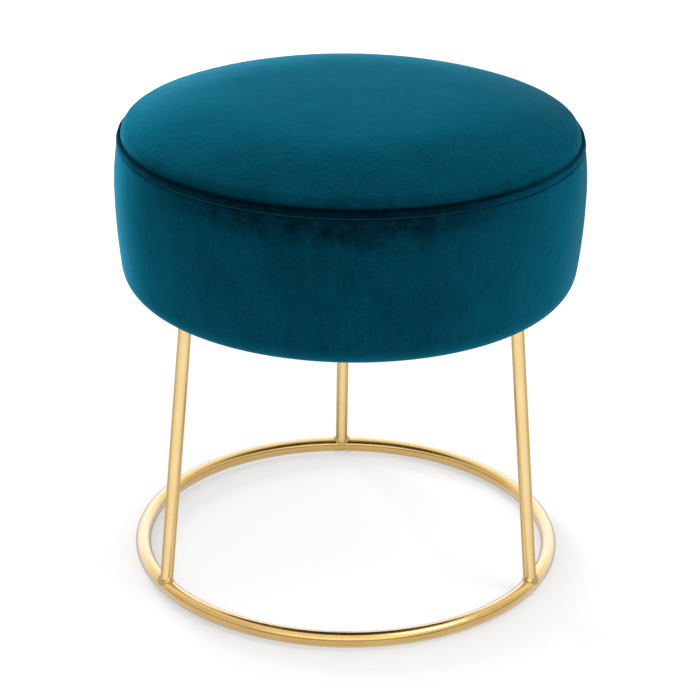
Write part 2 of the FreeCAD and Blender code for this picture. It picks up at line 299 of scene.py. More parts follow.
# %% Velvet on the top
PILE_DARK = (0.0002, 0.023, 0.039, 1)
PILE_LIGHT = (0.0005, 0.043, 0.073, 1)
# The next tint is painted sheen: it is added to the colour towards the rim of the velvet.
PAINTED_SHEEN_RIM = (0.032, 0.012, 0.004, 1)
# The next colour is for pressed pile and for painted shade under the fold and the stitching.
PRESSED_PILE_AND_SHADE = (0.0001, 0.0006, 0.0012, 1)
VELVET = {
    "Roughness": 0.9, "Specular IOR Level": 0.0, "Sheen Weight": 0.37, "Sheen Roughness": 0.55,
    "Sheen Tint": (0.03, 0.65, 1.0, 1),
}
top_velvet, tree, shader = new_material("velvet_top", VELVET)
spot = object_place(tree)
marks = place(tree, pile, {"Coordinates": spot, "Streaks": (330, 80, 1), "Clouds": (26, 34, 1)})
pile_colour = mixed(tree, marks["Shade"], PILE_DARK, PILE_LIGHT)
# Painted sheen: the colour gets the warm tint towards the rim.
tree.links.new(mixed(tree, facing_away(tree, 0.62, 1.0), pile_colour, PAINTED_SHEEN_RIM, "ADD"), shader["Base Color"])
relief(tree, shader, marks["Height"], 0.0007)
print("material:", top_velvet.name)

# %% [markdown]
# On the side the pile hangs down, so its streaks run up and down and follow the cloth. The piece carries a
# UV map in metres for that: U runs round the seat from the closing seam at the back, and V runs down from
# the topstitched line. Under the stitching the colour is darkened in patches with ragged lower edges: partly
# pressed pile and partly painted shade where the pile faces the eye, most in a large patch in front. The
# folded band above it is darkened too, with painted shade on its face in front, in the crease above it and
# along the stitches. All are masks on the same map, and FRONT is the U at which the largest patch has its
# middle. The band and the crease also get less sheen, for pressed pile and painted shade, so there are three
# finishes: one for the open side, one for the band and one for the crease above it.

# %% Pressed pile and painted shade on the side
FRONT = 0.520
PATCH_DEPTH = 31.0 * MM
PRESSED_AND_SHADE_SHARE = 0.97


def pressed_and_shaded_patches(tree, spot, down_way, front_shade_patch):
    """Pressed pile and painted shade under the stitching: ragged dark patches, the largest one in front."""
    other_patches = spread(tree, grain(tree, spot, (7, 0.01, 1), 1.0), 0.50, 0.66, 0.0, 0.6)
    ragged = maths(tree, "MULTIPLY_ADD", grain(tree, spot, (34, 30, 1), 5.0, 0.7), 0.7, 0.30)
    ragged = maths(tree, "MULTIPLY_ADD", grain(tree, spot, (190, 36, 1), 3.0, 0.6), 0.3, ragged)
    fading = spread(tree, maths(tree, "MULTIPLY_ADD", down_way, -0.55 / PATCH_DEPTH, ragged), 0.35, 0.70)
    below = maths(tree, "MULTIPLY", fading, maths(tree, "GREATER_THAN", down_way, -0.3 * MM))
    blotches = spread(tree, grain(tree, spot, (60, 48, 1), 5.0, 0.75), 0.36, 0.60, 0.50, 1.0)
    patches = maths(tree, "MULTIPLY", below, maths(tree, "MAXIMUM", front_shade_patch, other_patches))
    return maths(tree, "MULTIPLY", patches, blotches)


def fading_aside(tree, left_way, left, left_rest, right, right_rest):
    """1 in front, falling to a rest over a stretch on the left and over another on the right."""
    on_left = spread(tree, left_way, *left, 1.0, left_rest)
    return maths(tree, "MULTIPLY", on_left, spread(tree, left_way, *right, right_rest, 1.0))


def painted_band_shade(tree, spot, down_way, left_way, from_front, front_shade_patch):
    """Painted shade and pressed pile on the band: its face, the crease above it, a line at the stitches."""
    ticks = spread(tree, grain(tree, spot, (420, 50, 1), 3.0, 0.7), 0.36, 0.58, 0.75, 1.0)
    ticks = maths(tree, "MAXIMUM", ticks, maths(tree, "MULTIPLY", front_shade_patch, 0.85))
    face = spread(tree, down_way, -2.2 * MM, -1.0 * MM, 1.0, 0.0)
    near_front = fading_aside(tree, left_way, (0.12, 0.23), 0.10, (-0.17, -0.09), 0.10)
    face = maths(tree, "MULTIPLY", maths(tree, "MULTIPLY", face, near_front), ticks)
    crease = spread(tree, down_way, -5.0 * MM, -6.4 * MM, 0.0, 0.95)
    near_front = fading_aside(tree, left_way, (0.18, 0.26), 0.45, (-0.20, -0.12), 0.40)
    crease = maths(tree, "MULTIPLY", crease, near_front)
    line = spread(tree, maths(tree, "ABSOLUTE", down_way), 0.4 * MM, 1.3 * MM, 0.65, 0.0)
    line = maths(tree, "MULTIPLY", line, spread(tree, from_front, 0.06, 0.16))
    return maths(tree, "MAXIMUM", maths(tree, "MAXIMUM", face, line), crease)


print("masks of the pressed pile ready")


# %% Velvet on the side
def velvet_on_side(name, sheen):
    """The side's velvet with pressed pile and painted shade. Its sheen is lower on the band and the crease.
    """
    material, tree, shader = new_material(name, {**VELVET, "Sheen Weight": sheen})
    spot = add(tree, "ShaderNodeUVMap", {}, uv_map="cloth").outputs[0]
    round_way, down_way, _ = axes(tree, spot)
    marks = place(tree, pile, {"Coordinates": spot, "Streaks": (260, 60, 1), "Clouds": (26, 20, 1)})
    pile_colour = mixed(tree, marks["Shade"], PILE_DARK, PILE_LIGHT)
    # Painted sheen: the colour gets the warm tint towards the rim.
    pile_colour = mixed(tree, facing_away(tree, 0.62, 1.0), pile_colour, PAINTED_SHEEN_RIM, "ADD")
    left_way = maths(tree, "SUBTRACT", FRONT, round_way)
    from_front = maths(tree, "ABSOLUTE", left_way)
    front_shade_patch = spread(tree, from_front, 0.060, 0.185, 1.0, 0.0)
    patches = pressed_and_shaded_patches(tree, spot, down_way, front_shade_patch)
    band = painted_band_shade(tree, spot, down_way, left_way, from_front, front_shade_patch)
    # Pressed pile and painted shade: the masks darken the colour almost to a black teal.
    pressed_and_shade_mask = maths(tree, "MULTIPLY", maths(tree, "MAXIMUM", patches, band), PRESSED_AND_SHADE_SHARE)
    tree.links.new(mixed(tree, pressed_and_shade_mask, pile_colour, PRESSED_PILE_AND_SHADE), shader["Base Color"])
    relief(tree, shader, marks["Height"], 0.0004)
    return material


side_velvet = velvet_on_side("velvet_side", 0.37)
# Lower sheen on the band, for pressed pile and painted shade, and very low sheen in the crease, as painted
# shade.
band_velvet = velvet_on_side("velvet_band", 0.22)
crease_velvet = velvet_on_side("velvet_crease", 0.10)
print("materials:", side_velvet.name, band_velvet.name, crease_velvet.name)

# %% [markdown]
# ## Sizes of the cover
#
# The seat is a body of revolution, so one outline in the XZ plane says it all. Its main sizes are read from
# the frame: the widest radius, the top, the underside and the seam. The others are sewing sizes.

# %% Sizes of the cover
band_low, band_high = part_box("cover_side_band")
top_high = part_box("cover_top_panel")[1]
seat_radius = band_high.x
seat_bottom = band_low.z
crown_level = top_high.z
seam_radius = top_high.x
seam_level = crown_level - 25.0 * MM
middle_radius = 85.0 * MM
middle_rise = 0.6 * MM
roll_radius = 9.0 * MM
allowance = 7.5 * MM
band_start = -0.2 * MM
crease_start = -6.2 * MM
velvet_thickness = 1.0 * MM
turns = 180
print("seat radius", round(seat_radius, 4), "seam", round(seam_radius, 4), round(seam_level, 4))


# %% Outline helpers
MOST_VERTICES = 100000


def clamped(value):
    """A value kept between 0 and 1."""
    return min(1.0, max(0.0, value))


def arc(bm, start, centre, angle, steps):
    """Carries an outline on from a vertex, round a centre in the XZ plane. Returns the last vertex."""
    made = bmesh.ops.spin(
        bm, geom=[start], cent=(centre[0], 0, centre[1]), axis=(0, 1, 0), angle=angle, steps=steps,
    )
    return [part for part in made["geom_last"] if isinstance(part, bmesh.types.BMVert)][0]


def run(bm, start, end, steps):
    """Carries an outline on in a straight line, in equal steps. Returns the last vertex."""
    step = (Vector((end[0], 0, end[1])) - start.co) / steps
    for _ in range(steps):
        start = bmesh.ops.extrude_vert_indiv(bm, verts=[start])["verts"][0]
        bmesh.ops.translate(bm, verts=[start], vec=step)
    return start


def spin_round(bm, geometry, angle, steps):
    """Spins an outline about the Z axis. Returns its last copy."""
    made = bmesh.ops.spin(
        bm, geom=geometry, cent=(0, 0, 0), axis=(0, 0, 1), angle=angle, steps=steps,
        use_merge=angle == FULL_TURN,
    )
    return made["geom_last"]


def fill_middle(bm, radius):
    """Fills the hole in the middle of a spun piece with a square grid."""
    rim = [e for e in bm.edges if e.is_boundary and max(v.co.xy.length for v in e.verts) < radius * 1.01]
    rim.sort(key=lambda e: math.atan2(e.verts[0].co.y + e.verts[1].co.y, e.verts[0].co.x + e.verts[1].co.x))
    quarter = len(rim) // 4
    bmesh.ops.grid_fill(bm, edges=rim[:quarter] + rim[2 * quarter:3 * quarter])


def corner_rank(part):
    """A number that orders edges or faces by their corners, so that every run lists them alike."""
    rank = 0
    for index in sorted(v.index for v in part.verts)[:3]:
        rank = rank * MOST_VERTICES + index
    return rank


def to_object(bm, name, material):
    """Closes a bmesh, turns its faces outwards and makes it an object of the scene."""
    bmesh.ops.remove_doubles(bm, verts=bm.verts[:], dist=1e-6)
    bmesh.ops.recalc_face_normals(bm, faces=bm.faces[:])
    bm.verts.index_update()
    bm.edges.sort(key=corner_rank)
    bm.faces.sort(key=corner_rank)
    mesh = bpy.data.meshes.new(name)
    bm.to_mesh(mesh)
    bm.free()
    mesh.shade_smooth()
    mesh.materials.append(material)
    made = bpy.data.objects.new(name, mesh)
    bpy.context.scene.collection.objects.link(made)
    return made


print("outline helpers ready")

# %% [markdown]
# ## Top panel
#
# The top is one round of velvet over a soft pad: nearly level in the middle, with soft shoulders and a tight
# roll into the seam. Three arcs that meet without a corner draw it. A spin that starts on the axis would end
# in a knot of thin triangles, so it starts further out, and the middle is filled with a square grid.

# %% Top outline
middle_arc = (middle_radius ** 2 + middle_rise ** 2) / (2 * middle_rise)
middle_turn = math.asin(middle_radius / middle_arc)
roll_centre = Vector((seam_radius - roll_radius, seam_level))
rim_point = Vector((middle_radius, crown_level - middle_rise))
rim_normal = Vector((math.sin(middle_turn), math.cos(middle_turn)))
to_rim = rim_point - roll_centre
shoulder_arc = (to_rim.length_squared - roll_radius ** 2) / (2 * (to_rim.dot(rim_normal) - roll_radius))
shoulder_centre = rim_point - rim_normal * shoulder_arc
shoulder_end = math.atan2(*(roll_centre - shoulder_centre))
grid_radius = 55.0 * MM
grid_turn = math.asin(grid_radius / middle_arc)
middle_centre = Vector((0.0, crown_level - middle_arc))
print("top arcs:", round(middle_arc, 3), round(shoulder_arc, 4), round(roll_radius, 4))

# %% Top panel
bm = bmesh.new()
tip = bm.verts.new((grid_radius, 0, middle_centre.y + middle_arc * math.cos(grid_turn)))
tip = arc(bm, tip, middle_centre, middle_turn - grid_turn, 8)
tip = arc(bm, tip, shoulder_centre, shoulder_end - middle_turn, 20)
tip = arc(bm, tip, roll_centre, math.pi / 2 - shoulder_end, 10)
tip = run(bm, tip, (seam_radius, seam_level - allowance), 3)
spin_round(bm, bm.verts[:] + bm.edges[:], FULL_TURN, turns)
fill_middle(bm, grid_radius)
for v in bm.verts:
    if v.co.xy.length < grid_radius:
        v.co.z = middle_centre.y + math.sqrt(middle_arc ** 2 - v.co.xy.length_squared)
top_panel = to_object(bm, "velvet_top_panel", top_velvet)
print("top panel:", len(top_panel.data.polygons), "faces")

# %% [markdown]
# ## Side band
#
# The side is a long strip that is sewn to the top with a folded band, topstitched below the fold, pulled
# over the foam and turned under the board. Its outline is again a chain of arcs. The spin starts and ends at
# the back, where the strip's two ends are sewn together, and has finer steps there for that seam. In the
# photograph the fold stands a little higher at the front, so it is drawn high and let down elsewhere.

# %% Side arcs
stitch_level = seam_level - 5.9 * MM
stitch_radius = seat_radius - 2.9 * MM
stitch_depth = 0.9 * MM
stitch_dip = 1.6 * MM
belly_level = seat_bottom + 80.0 * MM
corner_radius = 21.0 * MM
draw_in = 3.7 * MM
hem_radius = 130.0 * MM
fold_radius = 1.3 * MM
fold_middle = seam_radius + 0.15 * MM + fold_radius
fold_lift = 1.8 * MM
fold_level = seam_level - 0.3 * MM - fold_radius + fold_lift
upper_run = stitch_level - belly_level
upper_inset = seat_radius - stitch_radius
upper_arc = (upper_run ** 2 + upper_inset ** 2) / (2 * upper_inset)
upper_turn = math.asin((upper_run - stitch_dip) / upper_arc)
lower_run = belly_level - seat_bottom - corner_radius
lower_arc = (lower_run ** 2 + draw_in ** 2) / (2 * draw_in)
lower_turn = math.asin(lower_run / (lower_arc - corner_radius))
corner_middle = seat_radius - lower_arc + (lower_arc - corner_radius) * math.cos(lower_turn)
side_top = (
    seat_radius - upper_arc + upper_arc * math.cos(upper_turn),
    belly_level + upper_arc * math.sin(upper_turn),
)
print("side arcs:", round(upper_arc, 4), round(lower_arc, 4), round(corner_radius, 4))

# %% Side outline
bm = bmesh.new()
along = bm.verts.layers.float.new("along")
tip = bm.verts.new((fold_middle - fold_radius, 0, seam_level - allowance))
tip = run(bm, tip, (fold_middle - fold_radius, fold_level), 3)
tip = arc(bm, tip, (fold_middle, fold_level), math.pi, 8)
tip = run(bm, tip, (stitch_radius + 0.5 * MM, fold_level - fold_lift - 1.5 * MM), 3)
tip = run(bm, tip, (stitch_radius + 0.4 * MM, stitch_level + 1.2 * MM), 2)
tip = run(bm, tip, (stitch_radius - 0.3 * MM, stitch_level + 0.35 * MM), 2)
stitch_tip = run(bm, tip, (stitch_radius - stitch_depth, stitch_level), 1)
tip = run(bm, stitch_tip, (stitch_radius - 0.35 * MM, stitch_level - 0.5 * MM), 1)
tip = run(bm, tip, side_top, 2)
tip = arc(bm, tip, (seat_radius - upper_arc, belly_level), upper_turn, 9)
tip = arc(bm, tip, (seat_radius - lower_arc, belly_level), lower_turn, 16)
tip = arc(bm, tip, (corner_middle, seat_bottom + corner_radius), math.pi / 2 - lower_turn, 12)
tip = run(bm, tip, (hem_radius, seat_bottom), 6)
print("side outline:", len(bm.verts), "points")

# %% Side spin and cloth map
bm.verts.ensure_lookup_table()
for before, after in zip(bm.verts[:-1], bm.verts[1:]):
    after[along] = before[along] + (after.co - before.co).length
stitch_mark = stitch_tip[along]
for v in bm.verts:
    v[along] -= stitch_mark
BACK = math.pi / 2
SEAM_ZONE = math.radians(3)
bmesh.ops.rotate(bm, verts=bm.verts[:], cent=(0, 0, 0), matrix=Matrix.Rotation(BACK, 3, "Z"))
outline = spin_round(bm, bm.verts[:] + bm.edges[:], SEAM_ZONE, 5)
outline = spin_round(bm, outline, FULL_TURN - 2 * SEAM_ZONE, turns - 3)
spin_round(bm, outline, SEAM_ZONE, 5)
bmesh.ops.remove_doubles(bm, verts=bm.verts[:], dist=1e-6)


def turn_of(place):
    """Angle round the seat from the closing seam, from 0 to a full turn."""
    return (math.atan2(place.y, place.x) - BACK) % FULL_TURN


cloth = bm.loops.layers.uv.new("cloth")
for face in bm.faces:
    middle = turn_of(face.calc_center_median())
    for corner in face.loops:
        turn = turn_of(corner.vert.co)
        turn += FULL_TURN * round((middle - turn) / FULL_TURN)
        corner[cloth].uv = (turn * seat_radius, corner.vert[along])
print("cloth map on", len(bm.faces), "faces")

# %% Fold and finishes of the side
fold_foot = seam_level - 4.0 * MM
fold_rise = 3.0 * MM
lift_starts = 0.5
lift_grows = 0.3
for v in bm.verts:
    to_front = 0.5 - 0.5 * math.cos(turn_of(v.co))
    off_front = 1 - clamped((to_front - lift_starts) / lift_grows)
    up_fold = clamped((v.co.z - fold_foot) / fold_rise)
    v.co.z -= fold_lift * off_front * up_fold
for face in bm.faces:
    reach_down = sum(v[along] for v in face.verts) / len(face.verts)
    face.material_index = int(reach_down < band_start) + int(reach_down < crease_start)
side_band = to_object(bm, "velvet_side_band", side_velvet)
side_band.data.materials.append(band_velvet)
side_band.data.materials.append(crease_velvet)
print("side band:", len(side_band.data.polygons), "faces")

# %% [markdown]
# ## Stuffing
#
# A cover that is drawn with arcs looks turned on a lathe. The foam below it is soft and not quite even, and
# it pushes the velvet out between the seams. A short cloth simulation does that: the sewn edges are pinned,
# pressure swells the rest, and a cap keeps every point near its place. The start is a little slack.


# %% Slack and uneven start
def slacken(piece, how_far):
    """Moves each vertex in along its normal, by an amount that depends on its place."""
    normals = [v.normal.copy() for v in piece.data.vertices]
    for v, normal in zip(piece.data.vertices, normals):
        v.co -= normal * how_far(v.co)


def top_slack(place):
    """How slack the top panel starts: more in the middle, and not the same everywhere."""
    open_cloth = clamped((seam_radius - 4 * MM - place.xy.length) / (30 * MM))
    return open_cloth * (0.3 + 0.5 * noise.noise(place * 17)) * MM


def side_slack(place):
    """How slack the side starts, between the topstitched line and the lower corner."""
    below_stitch = (stitch_level - 2 * MM - place.z) / (25 * MM)
    above_corner = (place.z - seat_bottom - 1 * MM) / (25 * MM)
    open_cloth = clamped(min(below_stitch, above_corner))
    return open_cloth * 0.6 * noise.noise(place * 15) * MM


drawn = {p: [(v.co.copy(), v.normal.copy()) for v in p.data.vertices] for p in (top_panel, side_band)}
slacken(top_panel, top_slack)
slacken(side_band, side_slack)
print("slack start: top at", round(max(v.co.z for v in top_panel.data.vertices), 5))

# %% Swell
swell_frames = 20
sewn_margin = 3.0 * MM
press_in = -0.3 * MM
push_out = 1.0 * MM
cap_softness = 2.5
CLOTH = {
    "vertex_group_mass": "sewn", "quality": 4, "tension_stiffness": 40, "compression_stiffness": 40,
    "bending_stiffness": 30, "tension_damping": 25, "compression_damping": 25, "air_damping": 8,
    "use_pressure": True, "uniform_pressure_force": 4,
}


def swell(piece, is_sewn):
    """Runs the cloth with pressure from inside, and keeps each point near its place on the outline."""
    start = [v.co.copy() for v in piece.data.vertices]
    sewn = piece.vertex_groups.new(name="sewn")
    sewn.add([i for i, place in enumerate(start) if is_sewn(place)], 1.0, "REPLACE")
    cloth_step = piece.modifiers.new("swell", "CLOTH")
    for label, value in CLOTH.items():
        setattr(cloth_step.settings, label, value)
    cloth_step.settings.effector_weights.gravity = 0
    cloth_step.point_cache.frame_start = 1
    cloth_step.point_cache.frame_end = swell_frames
    for number in range(1, swell_frames + 1):
        bpy.context.scene.frame_set(number)
    swollen = piece.evaluated_get(bpy.context.evaluated_depsgraph_get()).data
    ends = [v.co.copy() for v in swollen.vertices]
    piece.modifiers.remove(cloth_step)
    bpy.context.scene.frame_set(1)
    rises = []
    for v, (place, normal), end in zip(piece.data.vertices, drawn[piece], ends):
        rises.append((end - place).dot(normal))
        limit = push_out if rises[-1] > 0 else press_in
        v.co = place + normal * limit * math.tanh(rises[-1] / (cap_softness * limit))
    lowest, highest = round(min(rises) / MM, 2), round(max(rises) / MM, 2)
    print(piece.name, "rose from", lowest, "to", highest, "mm before the cap")


def top_is_sewn(place):
    """True at the top panel's seam."""
    return place.xy.length > seam_radius - sewn_margin


def side_is_sewn(place):
    """True at the topstitched line and above it, and at the hem."""
    return place.z > stitch_level - sewn_margin or place.z < seat_bottom + 1 * MM


swell(top_panel, top_is_sewn)
swell(side_band, side_is_sewn)
print("top now at", round(max(v.co.z for v in top_panel.data.vertices), 5))

# %% [markdown]
# ## Puckers, gathers and the closing seam
#
# Sewing draws the cloth in, so it puckers beside the stitched line. Under the seat the strip is too long for
# its smaller circle and lies in small gathers, and at the back its ends meet in an upright seam. These are
# finer than the simulation, so the meshes are first divided once and the vertices are then moved in code.


# %% Fine shape
def divided(piece):
    """Divides a piece once and keeps the result as its mesh."""
    finer = piece.modifiers.new("finer", "SUBSURF")
    finer.levels = 1
    finer.render_levels = 1
    finished = bpy.data.meshes.new_from_object(piece.evaluated_get(bpy.context.evaluated_depsgraph_get()))
    piece.modifiers.clear()
    piece.data = finished
    return finished


def bell(distance, width):
    """1 at no distance, and almost nothing at twice the width."""
    return math.exp(-((distance / width) ** 2))


print("fine shape helpers ready")

# %% Puckers and gathers of the side
pucker_width = 7.0 * MM
side_pucker = 0.28 * MM
gather_depth = 0.7 * MM
groove_depth = 0.9 * MM
groove_width = 1.1 * MM
ridge_height = 0.25 * MM
ridge_place = 3.0 * MM
ridge_width = 1.6 * MM
mesh = divided(side_band)
for v, normal in [(v, v.normal.copy()) for v in mesh.vertices]:
    turn = turn_of(v.co)
    arc_place = turn * seat_radius
    wide_wave = noise.noise(Vector((arc_place * 95, v.co.z * 60, 1)))
    narrow_wave = noise.noise(Vector((arc_place * 210, 4, 2)))
    depth = 0.0
    if v.co.xy.length > seam_radius + 1 * MM:
        depth += side_pucker * (wide_wave + 0.6 * narrow_wave) * bell(stitch_level - v.co.z, pucker_width)
    if v.co.z < seat_bottom + 6 * MM:
        inward = clamped((corner_middle + 8 * MM - v.co.xy.length) / (20 * MM))
        depth += gather_depth * inward * (noise.noise(Vector((arc_place * 70, 7, 3))) - 0.2)
    from_seam = min(turn, FULL_TURN - turn) * seat_radius
    depth += groove_depth * bell(from_seam, groove_width)
    depth -= ridge_height * bell(from_seam - ridge_place, ridge_width)
    v.co -= normal * depth
print("side band now:", len(side_band.data.polygons), "faces")

# %% Puckers of the top
top_pucker = 0.22 * MM
mesh = divided(top_panel)
for v, normal in [(v, v.normal.copy()) for v in mesh.vertices]:
    arc_place = turn_of(v.co) * seam_radius
    wide_wave = noise.noise(Vector((arc_place * 80, 5, 4)))
    narrow_wave = noise.noise(Vector((arc_place * 190, 6, 5)))
    depth = top_pucker * (wide_wave + 0.5 * narrow_wave) * bell(seam_radius - v.co.xy.length, pucker_width)
    v.co -= normal * depth
print("top panel now:", len(top_panel.data.polygons), "faces")

# %% Velvet pieces into the frame
for piece, node_name in ((top_panel, "cover_top_panel"), (side_band, "cover_side_band")):
    wall = piece.modifiers.new("velvet_thickness", "SOLIDIFY")
    wall.thickness = velvet_thickness
    wall.offset = -1.0
    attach(piece, "root")
    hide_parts(node_name)
print("velvet pieces:", top_panel.name, side_band.name)

# %% [markdown]
# ## Topstitching
#
# A thread in the colour of the velvet runs round the seat below the fold. Each stitch is a short loop of
# thread that dips into the cloth at both ends. One small ball is stretched to that form and copied round the
# line, all in one mesh, because a single stitch needs only a few faces.

# %% Thread
thread_paint, tree, shader = new_material("stitch_thread", {"Specular IOR Level": 0.0})
spot = object_place(tree)
twist = grain(tree, spot, (2200, 2200, 900), 2.0)
tree.links.new(mixed(tree, twist, (0.0002, 0.008, 0.013, 1), (0.0006, 0.018, 0.029, 1)), shader["Base Color"])
tree.links.new(spread(tree, twist, 0.3, 0.7, 0.55, 0.75), shader["Roughness"])
relief(tree, shader, twist, 0.0002)
print("material:", thread_paint.name)

# %% Stitches
stitch_count = 264
thread_size = 0.55 * MM
thread_sink = 0.35 * MM
thread_share = 0.84
stitch_length = FULL_TURN * stitch_radius / stitch_count
bm = bmesh.new()
for number in range(stitch_count):
    turn = FULL_TURN * number / stitch_count
    at = Matrix.Rotation(turn, 4, "Z") @ Matrix.Translation((stitch_radius - thread_sink, 0, stitch_level))
    form = Matrix.Diagonal((thread_size, stitch_length * thread_share, thread_size, 1))
    bmesh.ops.create_uvsphere(bm, u_segments=6, v_segments=5, radius=0.5, matrix=at @ form)
topstitch = to_object(bm, "topstitch_thread", thread_paint)
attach(topstitch, "root")
print("stitches:", stitch_count, "of", round(stitch_length / MM, 2), "mm")

# %% [markdown]
# ## Dust cover
#
# A round of black spun cloth closes the underside. It is stapled near its rim, so it lies tight there and
# hangs down a little in the middle and between the staples. The disc is spun like the top panel.

# %% Spun cloth
dust_paint, tree, shader = new_material("black_spun_cloth", {"Roughness": 0.95, "Specular IOR Level": 0.15})
spot = object_place(tree)
fibres = grain(tree, spot, (700, 700, 700), 4.0, 0.7)
dots = add(tree, "ShaderNodeTexVoronoi", {"Vector": spot, "Scale": 620.0, "Randomness": 0.12}).outputs
points = spread(tree, dots["Distance"], 0.20, 0.34)
tree.links.new(mixed(tree, fibres, (0.008, 0.008, 0.009, 1), (0.030, 0.030, 0.032, 1)), shader["Base Color"])
relief(tree, shader, maths(tree, "MULTIPLY_ADD", fibres, 0.4, points), 0.0003)
print("material:", dust_paint.name)

# %% Dust cover
dust_low, dust_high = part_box("dust_cover")
dust_radius = dust_high.x
dust_level = (dust_low.z + dust_high.z) / 2
dust_middle = 40.0 * MM
dust_thickness = 0.3 * MM
staple_count = 18
first_staple = BACK + math.pi / staple_count
sag_depth = 1.5 * MM
sag_radius = 80.0 * MM
ripple_depth = 0.18 * MM
bm = bmesh.new()
tip = bm.verts.new((dust_middle, 0, dust_level))
run(bm, tip, (dust_radius, dust_level), 26)
spin_round(bm, bm.verts[:] + bm.edges[:], FULL_TURN, turns)
fill_middle(bm, dust_middle)
for v in bm.verts:
    reach = v.co.xy.length
    from_staple = math.atan2(v.co.y, v.co.x) - first_staple
    between = 0.5 - 0.5 * math.cos(staple_count * from_staple)
    sag = sag_depth * max(0.0, 1 - (reach / sag_radius) ** 2) ** 2
    ripple = ripple_depth * between * (reach / dust_radius) ** 8
    v.co.z -= sag + ripple
dust_cover = to_object(bm, "black_dust_cover", dust_paint)
wall = dust_cover.modifiers.new("cloth_thickness", "SOLIDIFY")
wall.thickness = dust_thickness
wall.offset = 0.0
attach(dust_cover, "root")
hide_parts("dust_cover")
print("dust cover radius", round(dust_radius, 4))

# %% [markdown]
# ## Gold
#
# The bars are steel with a gold coating, drawn and then polished, so they are smooth with very fine lines
# along their length. One group makes the lines and the faint haze for every bar. The ring's lines run round
# it, so there the coordinates are first turned into a way round, a radius and a height. Towards a bar's
# edges the colour holds painted reflections: a leg is painted darker there, as painted shade, and the ring
# first paler, as a painted highlight, and then dark, as a painted reflection of the shaded floor. The gold
# of the legs is painted lighter and that of the ring and the welds darker, as lit and shaded copies of one
# coating. The ring also has a thin clear lacquer.

# %% Metal group
metal_lines, given, result = new_group(
    "metal_lines",
    [("Along", "NodeSocketVector"), ("Place", "NodeSocketVector")],
    [("Haze", "NodeSocketFloat"), ("Lines", "NodeSocketFloat")],
)
lines = grain(metal_lines, given["Along"], (14, 2600, 2600), 3.0, 0.6)
haze = grain(metal_lines, given["Place"], (45, 45, 45), 4.0, 0.6)
metal_lines.links.new(spread(metal_lines, haze, 0.3, 0.7), result["Haze"])
metal_lines.links.new(lines, result["Lines"])
print("metal group:", len(metal_lines.nodes), "nodes")

# %% Gold finishes
RING_REACH = 0.16
# Lit and shaded copies of one coating: the legs' gold is painted lighter, the ring's darker.
LIT_LEG_GOLD = ((0.94, 0.69, 0.33, 1), (0.99, 0.75, 0.38, 1))
SHADED_RING_GOLD = ((0.62, 0.405, 0.135, 1), (0.68, 0.445, 0.165, 1))
# Painted reflections towards the edges: darker on a leg; on the ring a pale highlight and then a dark rim.
LEG_PAINTED_EDGE_SHADE = [(0.0, 0.55, (0.48, 0.32, 0.11, 1))]
RING_PAINTED_EDGE_LIGHT_AND_SHADE = [(0.38, 0.62, (0.68, 0.55, 0.40, 1)), (0.62, 0.86, (0.30, 0.21, 0.095, 1))]


def gold(name, route, deep, light, painted_edges, bead=0.0, polish=0.16, lacquer=0.0):
    """Gold whose fine lines follow a route: round the ring, or up a leg."""
    material, tree, shader = new_material(
        name, {"Metallic": 1.0, "Coat Weight": lacquer, "Coat Roughness": 0.2, "Coat IOR": 1.8},
    )
    spot = object_place(tree)
    x, y, z = axes(tree, spot)
    level_place = stretched(tree, spot, (1, 1, 0))
    out = add(tree, "ShaderNodeVectorMath", {0: level_place}, operation="LENGTH").outputs["Value"]
    way_round = maths(tree, "MULTIPLY", maths(tree, "ARCTAN2", y, x), RING_REACH)
    parts = {0: way_round, 1: out, 2: z} if route == "ring" else {0: z, 1: x, 2: y}
    along_bar = add(tree, "ShaderNodeCombineXYZ", parts).outputs[0]
    marks = place(tree, metal_lines, {"Along": along_bar, "Place": spot})
    gold_and_painted_edges = mixed(tree, marks["Haze"], deep, light)
    # Painted highlight and painted shade: the colour changes towards the rim.
    for low, high, painted_tone in painted_edges:
        gold_and_painted_edges = mixed(tree, facing_away(tree, low, high), gold_and_painted_edges, painted_tone)
    tree.links.new(gold_and_painted_edges, shader["Base Color"])
    uneven = maths(tree, "MULTIPLY_ADD", marks["Lines"], 0.05, maths(tree, "MULTIPLY", marks["Haze"], 0.04))
    tree.links.new(maths(tree, "ADD", uneven, polish + bead * 0.08), shader["Roughness"])
    beads = grain(tree, spot, (420, 420, 420), 1.0)
    height = maths(tree, "MULTIPLY_ADD", beads, bead, maths(tree, "MULTIPLY", marks["Lines"], 0.004))
    relief(tree, shader, height, 0.0006)
    return material


gold_ring = gold("gold_ring", "ring", *SHADED_RING_GOLD, RING_PAINTED_EDGE_LIGHT_AND_SHADE, polish=0.17, lacquer=0.15)
gold_leg = gold("gold_leg", "leg", *LIT_LEG_GOLD, LEG_PAINTED_EDGE_SHADE)
# The welds take the darker ring gold: painted shade at the joints.
gold_weld = gold("gold_weld", "leg", *SHADED_RING_GOLD, LEG_PAINTED_EDGE_SHADE, bead=0.8)
print("gold finishes: ring, leg, weld")

# %% [markdown]
# ## Ring and legs
#
# The frame's bars are right in shape, but their triangles show as facets on polished metal, so smooth bars
# stand in for them at the same place. The ring is a circle spun round the seat's axis. A leg is a circle that
# is drawn up along its leaning line. Its foot is coped: each point of its lower end slides down to the ring.

